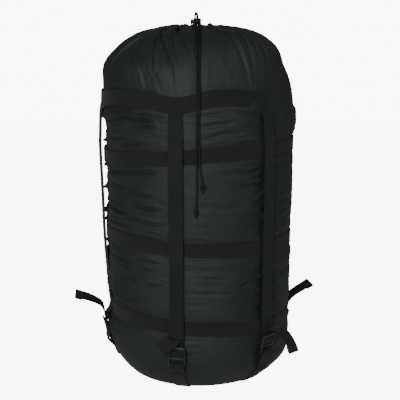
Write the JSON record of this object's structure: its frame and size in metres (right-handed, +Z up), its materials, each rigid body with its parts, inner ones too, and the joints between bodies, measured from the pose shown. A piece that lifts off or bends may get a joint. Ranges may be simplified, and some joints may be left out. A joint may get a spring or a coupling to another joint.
{
  "type": "compression sack",
  "caption": "Round fabric compression sack with webbing bands and vertical straps through ladder locks, and a drawcord neck with a spring cord lock.",
  "frame": {"origin": "centre of the base where the sack stands", "axes": "+Z up along the sack's axis, -Y is the front where the drawcord hangs"},
  "size_m": [0.4524, 0.403, 0.6623],
  "materials": {
    "sack_fabric": "matte",
    "webbing": "matte",
    "drawcord": "matte",
    "label_fabric": "satin",
    "moulded_plastic": "satin",
    "spring_steel": "satin"
  },
  "bodies": {
    "base": {"base_cup": "sack_fabric", "body_panel": "sack_fabric", "back_seam": "sack_fabric", "base_band": "webbing", "base_patch": "webbing", "anchor_strap_1": "webbing", "anchor_strap_2": "webbing", "anchor_strap_3": "webbing", "anchor_strap_4": "webbing", "anchor_strap_5": "webbing", "anchor_strap_6": "webbing", "compression_strap_1": "webbing", "compression_strap_2": "webbing", "compression_strap_3": "webbing", "compression_strap_4": "webbing", "compression_strap_5": "webbing", "compression_strap_6": "webbing"},
    "cap": {"collar": "sack_fabric", "neck_casing": "sack_fabric", "top_band": "webbing", "drawcord_ring": "drawcord", "drawcord_tail_a": "drawcord", "drawcord_tail_b": "drawcord", "drawcord_knot_a": "drawcord", "drawcord_knot_b": "drawcord"},
    "upper_band": {"upper_band": "webbing"},
    "lower_band": {"lower_band": "webbing", "label_patch": "label_fabric"},
    "cord_lock": {"cord_lock_barrel": "moulded_plastic", "cord_lock_spring": "spring_steel"},
    "lock_plunger": {"cord_lock_plunger": "moulded_plastic"},
    "buckle_1": {"ladder_lock_1": "moulded_plastic", "strap_wrap_1": "webbing"},
    "tail_1": {"strap_tail_1": "webbing"},
    "buckle_2": {"ladder_lock_2": "moulded_plastic", "strap_wrap_2": "webbing"},
    "tail_2": {"strap_tail_2": "webbing"},
    "buckle_3": {"ladder_lock_3": "moulded_plastic", "strap_wrap_3": "webbing"},
    "tail_3": {"strap_tail_3": "webbing"},
    "buckle_4": {"ladder_lock_4": "moulded_plastic", "strap_wrap_4": "webbing"},
    "tail_4": {"strap_tail_4": "webbing"},
    "buckle_5": {"ladder_lock_5": "moulded_plastic", "strap_wrap_5": "webbing"},
    "tail_5": {"strap_tail_5": "webbing"},
    "buckle_6": {"ladder_lock_6": "moulded_plastic", "strap_wrap_6": "webbing"},
    "tail_6": {"strap_tail_6": "webbing"}
  },
  "joints": [
    {"name": "compress", "type": "slide", "parent": "base", "child": "cap", "axis": [0, 0, 1], "range_m": [-0.15, 0], "deforming": ["body_panel", "back_seam", "compression_strap_1", "compression_strap_2", "compression_strap_3", "compression_strap_4", "compression_strap_5", "compression_strap_6"]},
    {"name": "upper_band_drop", "type": "slide", "parent": "base", "child": "upper_band", "axis": [0, 0, 1], "range_m": [-0.15, 0]},
    {"name": "lower_band_drop", "type": "slide", "parent": "base", "child": "lower_band", "axis": [0, 0, 1], "range_m": [-0.15, 0]},
    {"name": "cord_lock_slide", "type": "slide", "parent": "cap", "child": "cord_lock", "axis": [0, 0, 1], "range_m": [0, 0.002]},
    {"name": "plunger_press", "type": "slide", "parent": "cord_lock", "child": "lock_plunger", "axis": [1, 0, 0], "range_m": [0, 0.0028], "stiffness_N_per_m": 600, "springref_m": -0.003, "deforming": ["cord_lock_spring"]},
    {"name": "buckle_tilt_1", "type": "hinge", "parent": "base", "child": "buckle_1", "pos_m": [-0.03696, -0.16809, 0.06], "axis": [0.9767, -0.2147, 0], "range_deg": [0, 40], "stiffness_Nm_per_rad": 0.08, "springref_deg": -17.19},
    {"name": "tail_swing_1", "type": "hinge", "parent": "buckle_1", "child": "tail_1", "pos_m": [-0.03769, -0.17143, 0.09644], "axis": [0.9767, -0.2147, 0], "range_deg": [-40, 0], "stiffness_Nm_per_rad": 0.03},
    {"name": "buckle_tilt_2", "type": "hinge", "parent": "base", "child": "buckle_2", "pos_m": [0.11955, -0.1238, 0.07], "axis": [0.7193, 0.6947, 0], "range_deg": [0, 40], "stiffness_Nm_per_rad": 0.08, "springref_deg": -17.19},
    {"name": "tail_swing_2", "type": "hinge", "parent": "buckle_2", "child": "tail_2", "pos_m": [0.12369, -0.12809, 0.10611], "axis": [0.7193, 0.6947, 0], "range_deg": [-10, 30], "stiffness_Nm_per_rad": 0.03},
    {"name": "buckle_tilt_3", "type": "hinge", "parent": "base", "child": "buckle_3", "pos_m": [0.16543, 0.04744, 0.064], "axis": [-0.2756, 0.9613, 0], "range_deg": [0, 40], "stiffness_Nm_per_rad": 0.08, "springref_deg": -17.19},
    {"name": "tail_swing_3", "type": "hinge", "parent": "buckle_3", "child": "tail_3", "pos_m": [0.16995, 0.04873, 0.1003], "axis": [-0.2756, 0.9613, 0], "range_deg": [0, 45], "stiffness_Nm_per_rad": 0.03},
    {"name": "buckle_tilt_4", "type": "hinge", "parent": "base", "child": "buckle_4", "pos_m": [0.04163, 0.16699, 0.06], "axis": [-0.9703, 0.2419, 0], "range_deg": [0, 40], "stiffness_Nm_per_rad": 0.08, "springref_deg": -17.19},
    {"name": "tail_swing_4", "type": "hinge", "parent": "buckle_4", "child": "tail_4", "pos_m": [0.04246, 0.17031, 0.09644], "axis": [-0.9703, 0.2419, 0], "range_deg": [-8, 25], "stiffness_Nm_per_rad": 0.03},
    {"name": "buckle_tilt_5", "type": "hinge", "parent": "base", "child": "buckle_5", "pos_m": [-0.1279, 0.11516, 0.066], "axis": [-0.6691, -0.7431, 0], "range_deg": [0, 40], "stiffness_Nm_per_rad": 0.08, "springref_deg": -17.19},
    {"name": "tail_swing_5", "type": "hinge", "parent": "buckle_5", "child": "tail_5", "pos_m": [-0.13139, 0.1183, 0.1023], "axis": [-0.6691, -0.7431, 0], "range_deg": [-5, 35], "stiffness_Nm_per_rad": 0.03},
    {"name": "buckle_tilt_6", "type": "hinge", "parent": "base", "child": "buckle_6", "pos_m": [-0.16834, -0.03578, 0.072], "axis": [0.2079, -0.9781, 0], "range_deg": [0, 40], "stiffness_Nm_per_rad": 0.08, "springref_deg": -17.19},
    {"name": "tail_swing_6", "type": "hinge", "parent": "buckle_6", "child": "tail_6", "pos_m": [-0.17355, -0.03689, 0.10821], "axis": [0.2079, -0.9781, 0], "range_deg": [0, 45], "stiffness_Nm_per_rad": 0.03}
  ],
  "couplings": [
    {"joint": "upper_band_drop", "follows": "compress", "ratio": 0.7829},
    {"joint": "lower_band_drop", "follows": "compress", "ratio": 0.3645}
  ]
}
